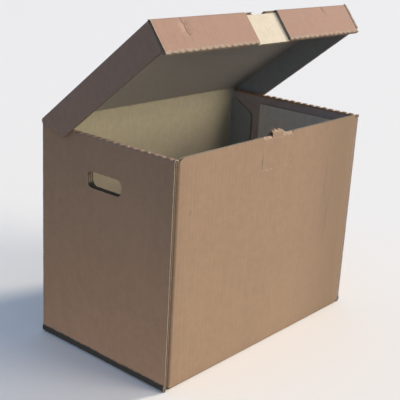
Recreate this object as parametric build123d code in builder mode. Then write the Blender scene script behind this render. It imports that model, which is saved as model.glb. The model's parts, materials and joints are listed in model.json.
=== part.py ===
from build123d import *

import math
import os

# Archive transfer box of die-cut corrugated board, with a flap lid hinged on the back wall and a
# lock tab in the front wall.  It is folded from flat board, and each panel, flap, hem and tab
# between two creases is a piece of its own here.
#
# Millimetres.  Origin: centre of the footprint, on the surface that the box stands on.
# +X is to the right as seen from the front, the front wall faces -Y, and +Z is up.
# The box is drawn as it stands open, with the lid propped part-way.

# ---------------------------------------------------------------- board
board = 4.0               # single-wall board with C flutes
ply_gap = 0.1             # air between two boards that lie on each other
cut_gap = 0.3             # width of a die cut
fold_radius = 3.2         # outside radius of a folded crease
raw_round = 1.2           # wear on a cut corner of a tab

# ---------------------------------------------------------------- body
body_width = 442.0
body_depth = 259.0
wall_height = 333.0
half_width = body_width / 2
half_depth = body_depth / 2

outer_mid = half_width - board / 2                # middle plane of the outer side walls
inner_ply = board - ply_gap                       # the inner wall is pressed slightly thinner
inner_mid = half_width - board - ply_gap - inner_ply / 2
panel_half = half_width - 2 * board - ply_gap     # half the width of the front and back walls
tab_mid = panel_half - board / 2                  # middle plane of the tabs inside the side walls

hem_height = 4.0          # rolled-over top of each side wall
tooth_pitch = 13.0        # perforation of the rolled folds
tooth_gap_radius = 2.8    # a gap between teeth is a shallow round notch
tooth_gap_depth = 1.5
side_teeth = 20           # gaps along a side wall

hand_hole_length = 68.5
hand_hole_height = 24.0
hand_hole_radius = 9.0
hand_hole_below_top = 63.0  # to the middle of the hole
hand_hole_clearance = 0.8  # the hole is a little larger in the two inner boards

front_tab_length = 191.8  # from the front face, along the side wall
front_tab_drop = 15.5     # below the wall's top
rear_tab_length = 49.4
rear_tab_drop = 13.8
rear_tab_chamfer_along = 40.4
rear_tab_chamfer_down = 23.8

base_tongue_length = 60.0  # tongues of the inner walls, in slots of the base
base_tongue_spacing = 130.0
base_tongue_clearance = 0.4
base_tongue_recess = 1.0   # the tongues stop this far above the surface the box stands on

front_corner_radius = 7.0  # top corners of the front wall

# ---------------------------------------------------------------- lock tab and its tongue
lock_left = -34.0
lock_right = 36.0
lock_crease_drop = 49.4   # crease of the lock tab, below the wall's top
tongue_left = -14.5
tongue_right = 12.5
tongue_length = 22.0
tongue_taper = 3.0
lock_corner_radius = 2.4  # free corners of the lock tab and its tongue

# ---------------------------------------------------------------- lid
lid_open_angle = 38.5     # how far the lid stands open
lid_clearance = 0.6       # between the closed lid's flanges and the walls
hinge_y = half_depth
hinge_z = wall_height + cut_gap + board
lid_length = body_depth + lid_clearance + 2 * board
flange_mid = half_width + lid_clearance + board / 2
lid_half_top = half_width + lid_clearance - ply_gap
side_flange_depth = 44.2
front_flange_depth = 51.0
crease_radius = 2.6       # crushed board of the lid's crease
crease_relief = 2.9       # how far the two boards stay back from the hinge line at their outer faces
crease_knee_back = 2.2    # knee in the crushed board, in from the outer face
crease_knee_down = 2.4    # and down from the hinge line

flange_rear_points = ((20.5, 28.7), (23.0, 38.0))  # along the lid from the hinge, and down
flange_rear_radius = 8.0
flange_front_radius = 1.5
left_flange_setback = 6.0  # the left flange stops behind the front flange, the right one beside it

window_left = -35.5       # where the outer board of the front flange is cut away
window_right = 37.5
front_left_end = -half_width - lid_clearance - board + cut_gap
front_right_end = half_width + lid_clearance - ply_gap
inner_left_end = -171.0   # the inner board of the front flange lies between the corner tabs
inner_right_end = 155.0
corner_tab_height = 36.0
corner_tab_drop = 5.5
corner_tab_radius = 3.6
notch_left = -15.5        # notch of the top panel, which takes the tongue
notch_right = 13.5
notch_slant = 4.0
notch_depth = 20.0        # from the lid's front face

os.makedirs("parts", exist_ok=True)


def write(builder, name):
    """Labels a finished piece and writes it to its own file."""
    builder.part.label = name
    export_step(builder.part, f"parts/{name}.step")


def side_plane(side, mid, thickness):
    """Plane for a side board's outline, at the low-X face of the board."""
    return Plane.YZ.offset(side * mid - thickness / 2)


def hand_hole(clearance):
    """Cuts the outline of a hand hole out of the current sketch."""
    with Locations((0, wall_height - hand_hole_below_top)):
        RectangleRounded(
            hand_hole_length + 2 * clearance,
            hand_hole_height + 2 * clearance,
            hand_hole_radius,
            mode=Mode.SUBTRACT,
        )


# ---------------------------------------------------------------- base
with BuildPart() as base_panel:
    with BuildSketch(Plane.XY):
        Rectangle(2 * (half_width - board - ply_gap), body_depth - 2 * board - 2 * ply_gap)
        with GridLocations(2 * inner_mid, base_tongue_spacing, 2, 2):
            Rectangle(
                board + 2 * base_tongue_clearance,
                base_tongue_length + 2 * base_tongue_clearance,
                mode=Mode.SUBTRACT,
            )
    extrude(amount=board)
write(base_panel, "base_panel")

# ---------------------------------------------------------------- front wall
with BuildPart() as front_panel:
    with BuildSketch(Plane.XZ.offset(half_depth - board)) as front_outline:
        with Locations((0, wall_height / 2)):
            Rectangle(2 * panel_half, wall_height)
        fillet(front_outline.vertices().group_by(Axis.Y)[-1], front_corner_radius)
        with Locations(((lock_left + lock_right) / 2, wall_height)):
            Rectangle(
                lock_right - lock_left + 2 * cut_gap,
                2 * (lock_crease_drop + cut_gap),
                mode=Mode.SUBTRACT,
            )
    extrude(amount=board)
    face_edges = front_panel.faces().sort_by(Axis.Y)[0].edges()
    bottom_edge = face_edges.filter_by(Axis.X).sort_by(Axis.Z)[0]
    corner_edges = face_edges.filter_by(Axis.Z).group_by(SortBy.LENGTH)[-1]
    fillet([bottom_edge, *corner_edges], fold_radius)
write(front_panel, "front_panel")

# ---------------------------------------------------------------- back wall, with the lid's crease
hinge_profile = (
    (-board, -board - 2 * ply_gap),
    (-crease_knee_back, -crease_knee_down),
    (0, -crease_relief),
)
with BuildPart() as back_panel:
    with BuildSketch(Plane.YZ.offset(-panel_half)):
        with BuildLine():
            top_points = [(hinge_y + y, hinge_z + z) for y, z in hinge_profile]
            Polyline(
                (half_depth, 0),
                (half_depth - board, 0),
                *top_points,
                close=True,
            )
        make_face()
    extrude(amount=2 * panel_half)
    outer_face = back_panel.faces().sort_by(Axis.Y)[-1]
    fillet(outer_face.edges().filter_by(Axis.X).sort_by(Axis.Z)[0], fold_radius)
    rear_edges = back_panel.edges().filter_by(Axis.Z).group_by(Axis.Y)[-1]
    fillet(rear_edges, fold_radius)
write(back_panel, "back_panel")

with BuildPart() as lid_crease:
    with BuildSketch(Plane.YZ.offset(-panel_half)):
        with BuildLine():
            CenterArc((hinge_y, hinge_z), crease_radius, 180, 90)
            Line((hinge_y, hinge_z - crease_radius), (hinge_y, hinge_z))
            Line((hinge_y, hinge_z), (hinge_y - crease_radius, hinge_z))
        make_face()
    extrude(amount=2 * panel_half)
write(lid_crease, "lid_crease")

# ---------------------------------------------------------------- side walls, two boards each
for side, side_name in ((-1, "left"), (1, "right")):
    with BuildPart() as outer_wall:
        with BuildSketch(side_plane(side, outer_mid, board)):
            with Locations((0, (wall_height - hem_height) / 2)):
                Rectangle(body_depth, wall_height - hem_height)
            hand_hole(0)
        extrude(amount=board)
        low_edges = outer_wall.edges().filter_by(Axis.Y).group_by(Axis.Z)[0]
        fillet(low_edges.sort_by(Axis.X)[0 if side < 0 else -1], fold_radius)
    write(outer_wall, f"{side_name}_outer_wall")

    with BuildPart() as top_hem:
        with BuildSketch(Plane.XZ.offset(-half_depth)) as hem_section:
            with Locations((side * (half_width - board), wall_height - hem_height / 2)):
                Rectangle(2 * board, hem_height)
            fillet(hem_section.vertices().group_by(Axis.Y)[-1], fold_radius)
        extrude(amount=body_depth)
        gap_z = wall_height + tooth_gap_radius - tooth_gap_depth
        with Locations((side * (half_width - board / 2), 0, gap_z)):
            with GridLocations(0, tooth_pitch, 1, side_teeth):
                Cylinder(tooth_gap_radius, board, rotation=(0, 90, 0), mode=Mode.SUBTRACT)
    write(top_hem, f"{side_name}_top_hem")

    with BuildPart() as inner_wall:
        inner_height = wall_height - hem_height - board - 2 * ply_gap
        with BuildSketch(side_plane(side, inner_mid, inner_ply)):
            with Locations((0, board + ply_gap + inner_height / 2)):
                Rectangle(body_depth - 2 * ply_gap, inner_height)
            with Locations((0, board)):
                with GridLocations(base_tongue_spacing, 0, 2, 1):
                    Rectangle(base_tongue_length, 2 * (board - base_tongue_recess))
            hand_hole(hand_hole_clearance)
        extrude(amount=inner_ply)
    write(inner_wall, f"{side_name}_inner_wall")

    with BuildPart() as front_tab:
        front_low = -half_depth + board + ply_gap
        front_high = -half_depth + front_tab_length
        with BuildSketch(side_plane(side, tab_mid, board)) as tab_outline:
            with Locations(((front_low + front_high) / 2, (wall_height - front_tab_drop + board) / 2)):
                Rectangle(front_high - front_low, wall_height - front_tab_drop - board - 2 * ply_gap)
            fillet(tab_outline.vertices().group_by(Axis.X)[-1], raw_round)
            hand_hole(hand_hole_clearance)
        extrude(amount=board)
    write(front_tab, f"front_{side_name}_tab")

    with BuildPart() as rear_tab:
        rear_high = half_depth - board - ply_gap
        rear_low = half_depth - rear_tab_length
        tab_top = wall_height - rear_tab_drop
        with BuildSketch(side_plane(side, tab_mid, board)):
            with BuildLine():
                Polyline(
                    (rear_high, board + ply_gap),
                    (rear_low, board + ply_gap),
                    (rear_low, tab_top - rear_tab_chamfer_down),
                    (rear_low + rear_tab_chamfer_along, tab_top),
                    (rear_high, tab_top),
                    close=True,
                )
            make_face()
        extrude(amount=board)
    write(rear_tab, f"rear_{side_name}_tab")

# ---------------------------------------------------------------- lock tab and tongue
crease_z = wall_height - lock_crease_drop
tongue_mid = (tongue_left + tongue_right) / 2
tongue_width = tongue_right - tongue_left
with BuildPart() as lock_tab:
    with BuildSketch(Plane.XZ.offset(half_depth - board)) as tab_face:
        with Locations(((lock_left + lock_right) / 2, (crease_z + wall_height) / 2)):
            Rectangle(lock_right - lock_left, lock_crease_drop - ply_gap)
        fillet(tab_face.vertices().group_by(Axis.Y)[-1], lock_corner_radius)
    extrude(amount=board)
    with BuildSketch(Plane.YZ.offset(tongue_left - cut_gap)):
        with BuildLine():
            Polyline(
                (-half_depth, wall_height - ply_gap),
                (-half_depth + board, wall_height - board - ply_gap),
                (-half_depth + board, wall_height),
                (-half_depth, wall_height),
                close=True,
            )
        make_face()
    extrude(amount=tongue_width + 2 * cut_gap, mode=Mode.SUBTRACT)
write(lock_tab, "lock_tab")

with BuildPart() as lock_tongue:
    with BuildSketch(Plane.XY.offset(wall_height - board)) as tongue_plan:
        with BuildLine():
            Polyline(
                (tongue_left, -half_depth),
                (tongue_right, -half_depth),
                (tongue_right - tongue_taper, -half_depth + tongue_length),
                (tongue_left + tongue_taper, -half_depth + tongue_length),
                close=True,
            )
        make_face()
        fillet(tongue_plan.vertices().group_by(Axis.Y)[-1], lock_corner_radius)
    extrude(amount=board - ply_gap)
    with BuildSketch(Plane.YZ.offset(tongue_left - cut_gap)):
        with BuildLine():
            Polyline(
                (-half_depth - cut_gap, wall_height - ply_gap),
                (-half_depth + ply_gap, wall_height - ply_gap),
                (-half_depth + board + ply_gap, wall_height - board - ply_gap),
                (-half_depth - cut_gap, wall_height - board - ply_gap),
                close=True,
            )
        make_face()
    extrude(amount=tongue_width + 2 * cut_gap, mode=Mode.SUBTRACT)
write(lock_tongue, "lock_tongue")

# ---------------------------------------------------------------- lid
# The lid's own frame has its origin on the hinge line, +Y back along the lid and +Z out of its top.
open_rad = math.radians(lid_open_angle)
lid_frame = Plane(
    origin=(0, hinge_y, hinge_z),
    x_dir=(1, 0, 0),
    z_dir=(0, math.sin(open_rad), math.cos(open_rad)),
)


def lid_side_plane(x):
    """Plane across the lid at x, for outlines that run along the lid and down from its top."""
    origin = lid_frame.from_local_coords((x, 0, 0))
    return Plane(origin=origin, x_dir=lid_frame.y_dir, z_dir=(1, 0, 0))


def lid_front_plane(y):
    """Plane that faces forward at y of the lid's frame."""
    origin = lid_frame.from_local_coords((0, y, 0))
    return Plane(origin=origin, x_dir=(1, 0, 0), z_dir=-lid_frame.y_dir)


def local_height(edge):
    """How far an edge lies above the lid's top, in the lid's own frame."""
    return lid_frame.to_local_coords(edge.center()).Z


def local_depth(edge):
    """How far back along the lid an edge lies, in the lid's own frame."""
    return lid_frame.to_local_coords(edge.center()).Y


lid_back = Axis((0, 0, 0), lid_frame.y_dir)
front_back = -lid_length + board          # rear face of the front flange's outer board
inner_front = front_back + ply_gap        # front face of its inner board
inner_ply_depth = board - ply_gap
hem_top = -front_flange_depth + hem_height

with BuildPart() as lid_top_panel:
    with BuildSketch(lid_side_plane(-lid_half_top)):
        with BuildLine():
            mitred_end = [(z, y) for y, z in hinge_profile]
            Polyline(
                (front_back + ply_gap, -board),
                *mitred_end,
                (front_back + ply_gap, 0),
                close=True,
            )
        make_face()
    extrude(amount=2 * lid_half_top)
    with BuildSketch(lid_frame):
        with BuildLine():
            Polyline(
                (notch_left, -lid_length),
                (notch_right - notch_slant, -lid_length),
                (notch_right, -lid_length + notch_depth / 2),
                (notch_right, -lid_length + notch_depth),
                (notch_left, -lid_length + notch_depth),
                close=True,
            )
        make_face()
    extrude(amount=-board, mode=Mode.SUBTRACT)
write(lid_top_panel, "lid_top_panel")

for side, side_name in ((-1, "left"), (1, "right")):
    flange_front = -lid_length + (left_flange_setback if side < 0 else 0)
    with BuildPart() as side_flange:
        with BuildSketch(lid_side_plane(side * flange_mid - board / 2)) as flange_outline:
            with BuildLine():
                Polyline(
                    (-crease_relief, 0),
                    *[(-along, -down) for along, down in flange_rear_points],
                    (-flange_rear_points[-1][0] - flange_rear_radius / 2, -side_flange_depth),
                    (flange_front, -side_flange_depth),
                    (flange_front, 0),
                    close=True,
                )
            make_face()
            low_corners = flange_outline.vertices().group_by(Axis.Y)[0].sort_by(Axis.X)
            fillet(low_corners[0], flange_front_radius)
            fillet(low_corners[-1], flange_rear_radius)
        extrude(amount=board)
        long_edges = side_flange.edges().filter_by(lid_back)
        outer_top = max(long_edges, key=lambda edge: local_height(edge) + side * edge.center().X)
        fillet(outer_top, fold_radius)
    write(side_flange, f"lid_{side_name}_flange")

    with BuildPart() as corner_tab:
        tab_end = inner_left_end if side < 0 else inner_right_end
        tab_span = abs(half_width + lid_clearance - ply_gap - abs(tab_end)) - ply_gap
        tab_x = side * (half_width + lid_clearance - ply_gap - tab_span / 2)
        with BuildSketch(lid_front_plane(inner_front + inner_ply_depth)) as tab_outline:
            with Locations((tab_x, -corner_tab_drop - corner_tab_height / 2)):
                Rectangle(tab_span, corner_tab_height)
            free_end = tab_outline.vertices().group_by(Axis.X)[-1 if side < 0 else 0]
            fillet(free_end, corner_tab_radius)
        extrude(amount=inner_ply_depth)
    write(corner_tab, f"lid_{side_name}_corner_tab")

# ---------------------------------------------------------------- front flange of the lid
for side_name, low, high in (
    ("left", front_left_end, window_left),
    ("right", window_right, front_right_end),
):
    with BuildPart() as front_flange:
        with BuildSketch(lid_front_plane(front_back)):
            with Locations(((low + high) / 2, hem_top / 2)):
                Rectangle(high - low, -hem_top)
        extrude(amount=board)
        long_edges = front_flange.edges().filter_by(Axis.X)
        outer_top = max(long_edges, key=lambda edge: local_height(edge) - local_depth(edge))
        fillet(outer_top, fold_radius)
    write(front_flange, f"lid_front_flange_{side_name}")

    with BuildPart() as front_hem:
        with BuildSketch(lid_side_plane(low)) as hem_section:
            with Locations((-lid_length + board, hem_top - hem_height / 2)):
                Rectangle(2 * board, hem_height)
            fillet(hem_section.vertices().group_by(Axis.Y)[0], fold_radius)
        extrude(amount=high - low)
        gap_count = int((high - low) // tooth_pitch)
        gap_depth = -front_flange_depth - tooth_gap_radius + tooth_gap_depth
        gap_plane = lid_frame.offset(gap_depth)
        with Locations(gap_plane.location):
            with Locations(((low + high) / 2, -lid_length + board / 2, 0)):
                with GridLocations(tooth_pitch, 0, gap_count, 1):
                    Cylinder(tooth_gap_radius, board, rotation=(90, 0, 0), mode=Mode.SUBTRACT)
    write(front_hem, f"lid_front_hem_{side_name}")

with BuildPart() as lid_front_inner:
    with BuildSketch(lid_front_plane(inner_front + inner_ply_depth)):
        with BuildLine():
            inner_top = -board - ply_gap
            Polyline(
                (inner_left_end, inner_top),
                (inner_left_end, hem_top + ply_gap),
                (window_left + ply_gap, hem_top + ply_gap),
                (window_left + ply_gap, -front_flange_depth),
                (window_right - ply_gap, -front_flange_depth),
                (window_right - ply_gap, hem_top + ply_gap),
                (inner_right_end, hem_top + ply_gap),
                (inner_right_end, inner_top),
                close=True,
            )
        make_face()
    extrude(amount=inner_ply_depth)
write(lid_front_inner, "lid_front_inner")
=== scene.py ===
import json
import math

import bmesh
import bpy
import numpy as np
from mathutils import Matrix, Vector, geometry


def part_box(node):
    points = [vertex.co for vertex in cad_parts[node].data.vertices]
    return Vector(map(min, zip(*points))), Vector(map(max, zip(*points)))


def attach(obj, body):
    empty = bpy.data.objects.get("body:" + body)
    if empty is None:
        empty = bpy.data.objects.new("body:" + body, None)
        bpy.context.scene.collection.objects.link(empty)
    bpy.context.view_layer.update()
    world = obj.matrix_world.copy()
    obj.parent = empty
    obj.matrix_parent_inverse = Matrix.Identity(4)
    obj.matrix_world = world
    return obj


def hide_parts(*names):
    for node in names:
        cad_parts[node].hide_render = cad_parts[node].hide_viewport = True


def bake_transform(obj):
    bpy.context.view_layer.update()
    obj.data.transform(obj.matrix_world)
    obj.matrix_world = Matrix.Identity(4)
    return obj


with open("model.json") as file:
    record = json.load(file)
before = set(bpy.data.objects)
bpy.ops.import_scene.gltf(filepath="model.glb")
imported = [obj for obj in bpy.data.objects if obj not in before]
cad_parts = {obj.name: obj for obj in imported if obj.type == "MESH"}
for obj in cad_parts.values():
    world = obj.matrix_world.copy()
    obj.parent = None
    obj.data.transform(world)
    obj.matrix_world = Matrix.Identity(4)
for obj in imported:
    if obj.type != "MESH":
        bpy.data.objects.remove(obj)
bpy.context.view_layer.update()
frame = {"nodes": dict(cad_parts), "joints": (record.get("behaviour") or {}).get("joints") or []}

# The looks of an archive box of corrugated board.  Each piece is made the way board is made: two
# liners with a fluted medium between them, cut to an outline, with its folds curled over.  Metres.

MM = 0.001
SIDES = ((-1, "left"), (1, "right"))
RIGHT, BACK, UP = (1, 0, 0), (0, 1, 0), (0, 0, 1)

# ---------------- board
LINER = 0.45 * MM
MEDIUM = 0.4 * MM
FLUTE_PITCH = 7.9 * MM
FLUTE_STEPS = 8               # columns of the medium per flute
WEAR_WIDTH = 1.3 * MM         # worn margin beside a cut
CUT_DEPTH = 2.0 * MM          # open flutes are made this deep behind a cut, and a core fills the rest
FUZZ = 0.07 * MM              # unevenness of a die cut
GRID = 16 * MM                # spacing of the points inside a board
OUTLINE_STEP = 7 * MM         # and along its edges
ARC_STEP = math.radians(18)
FOLD_STEPS = 6

# ---------------- places read from the frame
hinge = next(j for j in frame["joints"] if j["name"] == "lid_hinge")
lock_fold = next(j for j in frame["joints"] if j["name"] == "lock_tab_fold")
hinge_point = np.array(hinge["pos_m"])
open_angle = math.radians(-hinge["range_deg"][0])
lid_axes = np.array((
    (1.0, 0.0, 0.0),
    (0.0, math.cos(open_angle), -math.sin(open_angle)),
    (0.0, math.sin(open_angle), math.cos(open_angle)),
))


def lid_box(node):
    """Lowest and highest corner of a lid node in the lid's own frame: +Y back, +Z out of its top."""
    points = np.array([v.co for v in frame["nodes"][node].data.vertices], float)
    local = (points - hinge_point) @ lid_axes.T
    return local.min(0), local.max(0)


def to_world(points, lid):
    """Points of the lid's own frame in the world.  Points of the body are there already."""
    return hinge_point + points @ lid_axes if lid else points


def body_box(node):
    low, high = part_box(node)
    return np.array(low), np.array(high)


front_high = body_box("front_panel")[1]
wall_low, wall_high = body_box("right_outer_wall")
BOARD = wall_high[0] - wall_low[0]
FOLD_LENGTH = BOARD * math.pi / 2
half_width = wall_high[0]
half_depth = wall_high[1]
wall_height = front_high[2]
panel_half = front_high[0]
hem_height = wall_height - wall_high[2]

hole_centre = wall_height - 63 * MM
hole_length = 68.5 * MM
hole_height = 24 * MM
hole_radius = 9 * MM
hole_clearance = 0.8 * MM     # the hole is larger in the inner boards

tooth_pitch = 13 * MM
tooth_gap_width = 5.2 * MM
tooth_gap_depth = 1.5 * MM

base_tongue_half = 30 * MM    # half the width of the tongues that lock the inner walls into the base
base_tongue_spacing = 65 * MM


# ---------------- outlines
def unit(vector):
    return vector / np.linalg.norm(vector)


def rounded(corner, back, ahead, radius, steps=None):
    """Points of the arc that rounds a corner between the unit vectors back and ahead."""
    half = math.acos(np.clip(back @ ahead, -1, 1)) / 2
    centre = corner + unit(back + ahead) * radius / math.sin(half)
    start = corner + back * radius / math.tan(half) - centre
    end = corner + ahead * radius / math.tan(half) - centre
    sweep = math.pi - 2 * half
    steps = steps or max(2, math.ceil(sweep / ARC_STEP))
    turned = [(sweep * (1 - k / steps), sweep * (k / steps)) for k in range(steps + 1)]
    return [centre + (start * math.sin(a) + end * math.sin(b)) / math.sin(sweep) for a, b in turned]


def outline(corners, clockwise=False):
    """Closed outline through corners (u, v) or (u, v, radius), with points along its straight runs."""
    corners = [(*c, 0.0)[:3] for c in corners]
    points = []
    for i, (u, v, radius) in enumerate(corners):
        here = np.array((u, v))
        if radius == 0:
            points.append(here)
            continue
        back = unit(np.array(corners[i - 1][:2]) - here)
        ahead = unit(np.array(corners[(i + 1) % len(corners)][:2]) - here)
        points += rounded(here, back, ahead, radius)
    spaced = []
    for i, point in enumerate(points):
        following = points[(i + 1) % len(points)]
        steps = max(1, round(np.linalg.norm(following - point) / OUTLINE_STEP))
        spaced += [point + (following - point) * k / steps for k in range(steps)]
    loop = np.array(spaced)
    ahead = np.roll(loop, -1, axis=0)
    area = np.sum(loop[:, 0] * ahead[:, 1] - ahead[:, 0] * loop[:, 1]) / 2
    return loop[::-1] if (area > 0) == clockwise else loop


def rectangle(left, right, low, high, radius=0.0):
    return [(left, low, radius), (right, low, radius), (right, high, radius), (left, high, radius)]


def segments(loops):
    starts = np.concatenate(loops)
    ends = np.concatenate([np.roll(loop, -1, axis=0) for loop in loops])
    return starts, ends


def inside(points, loops):
    """Which points lie inside the outer loop and outside the holes."""
    starts, ends = segments(loops)
    u, v = points[:, 0][:, None], points[:, 1][:, None]
    crosses = (starts[:, 1] > v) != (ends[:, 1] > v)
    rise = np.where(ends[:, 1] == starts[:, 1], 1.0, ends[:, 1] - starts[:, 1])
    at = starts[:, 0] + (v - starts[:, 1]) * (ends[:, 0] - starts[:, 0]) / rise
    return np.sum(crosses & (u < at), axis=1) % 2 == 1


def distance(points, loops):
    """How far each point lies from the nearest cut edge."""
    starts, ends = segments(loops)
    run = ends - starts
    offset = points[:, None, :] - starts
    share = np.clip(np.sum(offset * run, axis=2) / np.sum(run * run, axis=1), 0, 1)
    return np.linalg.norm(offset - share[..., None] * run, axis=2).min(axis=1)


def spans(loops, axis, at):
    """Where the line axis = at runs inside the loops, as a list of (low, high) along the other axis."""
    starts, ends = segments(loops)
    hit = (starts[:, axis] > at) != (ends[:, axis] > at)
    a, b = starts[hit], ends[hit]
    along = a[:, 1 - axis] + (at - a[:, axis]) * (b - a)[:, 1 - axis] / (b - a)[:, axis]
    along = np.sort(along)
    return [(along[i], along[i + 1]) for i in range(0, len(along) - 1, 2)]


# ---------------- meshes
BROWN, CREAM, RAW = range(3)
made = []


def free_edges(faces):
    """The directed edges that only one face uses."""
    directed = {(f[i], f[(i + 1) % len(f)]) for f in faces for i in range(len(f))}
    return [(a, b) for a, b in sorted(directed) if (b, a) not in directed]


class Piece:
    """One piece's mesh, gathered in flat coordinates (u, v, w) and then put in its place."""

    def __init__(self, name, place):
        self.name = name
        self.place = place
        self.points = []
        self.faces = []
        self.finishes = []
        self.wear_and_painted_light = []
        self.count = 0

    def add(self, points, faces, finishes, wear_and_painted_light):
        self.points.append(np.asarray(points, float))
        self.faces += [tuple(i + self.count for i in face) for face in faces]
        self.finishes += list(finishes)
        self.wear_and_painted_light.append(np.asarray(wear_and_painted_light, float))
        self.count += len(points)

    def slab(self, flat, faces, low, high, finishes, wear_and_painted_light=None):
        """A closed sheet between the heights low and high, with a wall along every free edge."""
        count = len(flat)
        wear_and_painted_light = np.zeros(count) if wear_and_painted_light is None else wear_and_painted_light
        points = np.vstack((np.column_stack((flat, low)), np.column_stack((flat, high))))
        upper = [tuple(i + count for i in f) for f in faces]
        lower = [tuple(reversed(f)) for f in faces]
        walls = [(a, b, b + count, a + count) for a, b in free_edges(faces)]
        top, bottom, side = finishes
        kinds = [top] * len(upper) + [bottom] * len(lower) + [side] * len(walls)
        self.add(points, upper + lower + walls, kinds, np.concatenate((wear_and_painted_light, wear_and_painted_light)))

    def finish(self, body, nodes, slot, tones=("brown_liner", "cream_liner")):
        flat = np.concatenate(self.points)
        rest = self.place(flat)
        used = sorted({i for face in self.faces for i in face})
        number = {old: new for new, old in enumerate(used)}
        faces = [tuple(number[i] for i in face) for face in self.faces]
        mesh = bpy.data.meshes.new(self.name)
        mesh.from_pydata(rest[used].tolist(), [], faces)
        mesh.polygons.foreach_set("material_index", np.array(self.finishes, np.int32))
        mesh.validate()
        write_vectors(mesh, "flat", flat[used] + len(made) * np.array((0.61, 0.37, 0.0)))
        write_vectors(mesh, "rest", rest[used])
        wear_and_painted_light = mesh.attributes.new("wear_and_painted_light", "FLOAT", "POINT")
        wear_and_painted_light.data.foreach_set("value", np.concatenate(self.wear_and_painted_light)[used].astype(np.float32))
        smooth_mesh(mesh)
        for tone in (*tones, "raw_edge"):
            mesh.materials.append(materials[tone])
        piece = bpy.data.objects.new(self.name, mesh)
        bpy.context.scene.collection.objects.link(piece)
        made.append(piece)
        if isinstance(body, str):
            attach(piece, body)
        else:
            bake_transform(piece)
        if nodes:
            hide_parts(*nodes)
        return piece


def write_vectors(mesh, name, values):
    attribute = mesh.attributes.new(name, "FLOAT_VECTOR", "POINT")
    attribute.data.foreach_set("vector", values.astype(np.float32).ravel())


def smooth_mesh(mesh, angle=math.radians(38)):
    """Outward normals, and smooth shading between faces that meet at less than angle."""
    work = bmesh.new()
    work.from_mesh(mesh)
    bmesh.ops.recalc_face_normals(work, faces=work.faces)
    for face in work.faces:
        face.smooth = True
    for edge in work.edges:
        edge.smooth = len(edge.link_faces) == 2 and edge.calc_face_angle(0) < angle
    work.to_mesh(mesh)
    work.free()


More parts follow.
